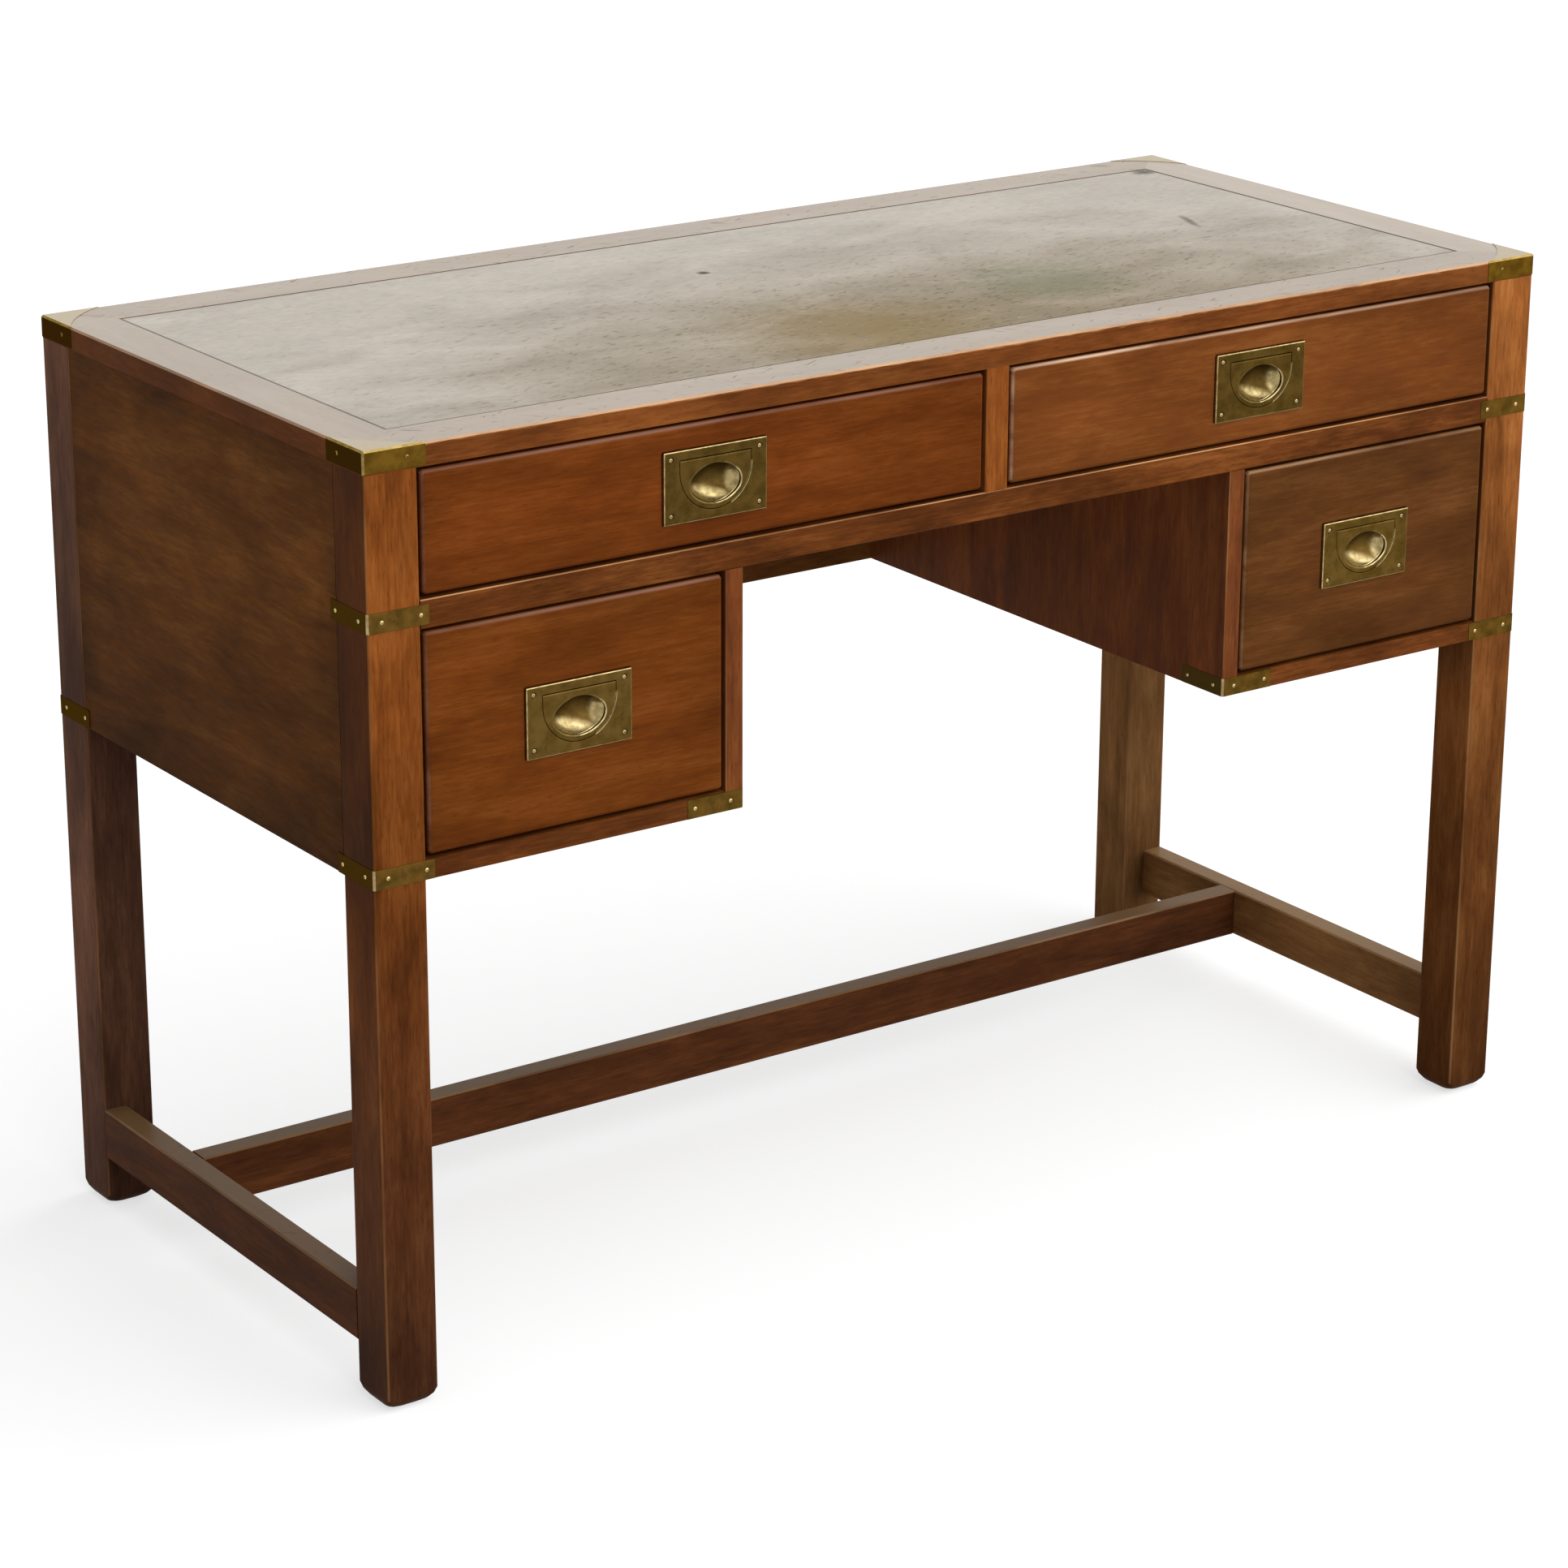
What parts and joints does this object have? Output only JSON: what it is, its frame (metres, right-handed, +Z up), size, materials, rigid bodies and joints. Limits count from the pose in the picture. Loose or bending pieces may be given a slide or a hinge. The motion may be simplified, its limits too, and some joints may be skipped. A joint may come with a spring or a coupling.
{
  "type": "campaign desk",
  "caption": "Brass-bound wooden campaign desk: leather-topped writing table with drawers either side of a kneehole, flush drop handles and square legs joined by stretchers.",
  "frame": {"origin": "on the floor, below the middle of the desk", "axes": "+X to the sitter's right along the desk, +Y from the sitter's side to the back, +Z up"},
  "size_m": [1.1454, 0.5117, 0.7624],
  "materials": {
    "mahogany_frame": "varnished",
    "mahogany_panel": "varnished",
    "drawer_wood": "bare",
    "leather": "worn and waxed",
    "brass": "aged"
  },
  "bodies": {
    "desk": {"back_panel": "mahogany_panel", "brass_pins": "brass", "centre_divider": "mahogany_frame", "corner_caps": "brass", "corner_straps": "brass", "cross_stretcher": "mahogany_frame", "drawer_guides": "drawer_wood", "drawer_rail": "mahogany_frame", "drawer_stops": "drawer_wood", "dust_board": "drawer_wood", "inner_panel_left": "mahogany_panel", "inner_panel_right": "mahogany_panel", "leather_inset": "leather", "pedestal_floor_left": "mahogany_frame", "pedestal_floor_right": "mahogany_frame", "post_back_left": "mahogany_frame", "post_back_right": "mahogany_frame", "post_front_left": "mahogany_frame", "post_front_right": "mahogany_frame", "side_panel_left": "mahogany_panel", "side_panel_right": "mahogany_panel", "side_stretcher_left": "mahogany_frame", "side_stretcher_right": "mahogany_frame", "top_panel": "mahogany_frame", "top_rail_back": "mahogany_frame", "top_rail_front": "mahogany_frame", "top_rail_left": "mahogany_frame", "top_rail_right": "mahogany_frame"},
    "upper_left_drawer": {"upper_left_drawer_back": "drawer_wood", "upper_left_drawer_bottom": "drawer_wood", "upper_left_drawer_front": "mahogany_panel", "upper_left_drawer_left_side": "drawer_wood", "upper_left_drawer_right_side": "drawer_wood", "upper_left_handle_plate": "brass", "upper_left_handle_screws": "brass"},
    "upper_left_bail": {"upper_left_handle_bail": "brass"},
    "upper_right_drawer": {"upper_right_drawer_back": "drawer_wood", "upper_right_drawer_bottom": "drawer_wood", "upper_right_drawer_front": "mahogany_panel", "upper_right_drawer_left_side": "drawer_wood", "upper_right_drawer_right_side": "drawer_wood", "upper_right_handle_plate": "brass", "upper_right_handle_screws": "brass"},
    "upper_right_bail": {"upper_right_handle_bail": "brass"},
    "lower_left_drawer": {"lower_left_drawer_back": "drawer_wood", "lower_left_drawer_bottom": "drawer_wood", "lower_left_drawer_front": "mahogany_panel", "lower_left_drawer_left_side": "drawer_wood", "lower_left_drawer_right_side": "drawer_wood", "lower_left_handle_plate": "brass", "lower_left_handle_screws": "brass"},
    "lower_left_bail": {"lower_left_handle_bail": "brass"},
    "lower_right_drawer": {"lower_right_drawer_back": "drawer_wood", "lower_right_drawer_bottom": "drawer_wood", "lower_right_drawer_front": "mahogany_panel", "lower_right_drawer_left_side": "drawer_wood", "lower_right_drawer_right_side": "drawer_wood", "lower_right_handle_plate": "brass", "lower_right_handle_screws": "brass"},
    "lower_right_bail": {"lower_right_handle_bail": "brass"}
  },
  "joints": [
    {"name": "upper_left_drawer_slide", "type": "slide", "parent": "desk", "child": "upper_left_drawer", "axis": [0, -1, 0], "range_m": [0, 0.32]},
    {"name": "upper_left_bail_hinge", "type": "hinge", "parent": "upper_left_drawer", "child": "upper_left_bail", "pos_m": [-0.26875, -0.255, 0.7132], "axis": [-1, 0, 0], "range_deg": [0, 90]},
    {"name": "upper_right_drawer_slide", "type": "slide", "parent": "desk", "child": "upper_right_drawer", "axis": [0, -1, 0], "range_m": [0, 0.32]},
    {"name": "upper_right_bail_hinge", "type": "hinge", "parent": "upper_right_drawer", "child": "upper_right_bail", "pos_m": [0.26875, -0.255, 0.7132], "axis": [-1, 0, 0], "range_deg": [0, 90]},
    {"name": "lower_left_drawer_slide", "type": "slide", "parent": "desk", "child": "lower_left_drawer", "axis": [0, -1, 0], "range_m": [0, 0.32]},
    {"name": "lower_left_bail_hinge", "type": "hinge", "parent": "lower_left_drawer", "child": "lower_left_bail", "pos_m": [-0.39225, -0.255, 0.552], "axis": [-1, 0, 0], "range_deg": [0, 90]},
    {"name": "lower_right_drawer_slide", "type": "slide", "parent": "desk", "child": "lower_right_drawer", "axis": [0, -1, 0], "range_m": [0, 0.32]},
    {"name": "lower_right_bail_hinge", "type": "hinge", "parent": "lower_right_drawer", "child": "lower_right_bail", "pos_m": [0.39225, -0.255, 0.552], "axis": [-1, 0, 0], "range_deg": [0, 90]}
  ]
}
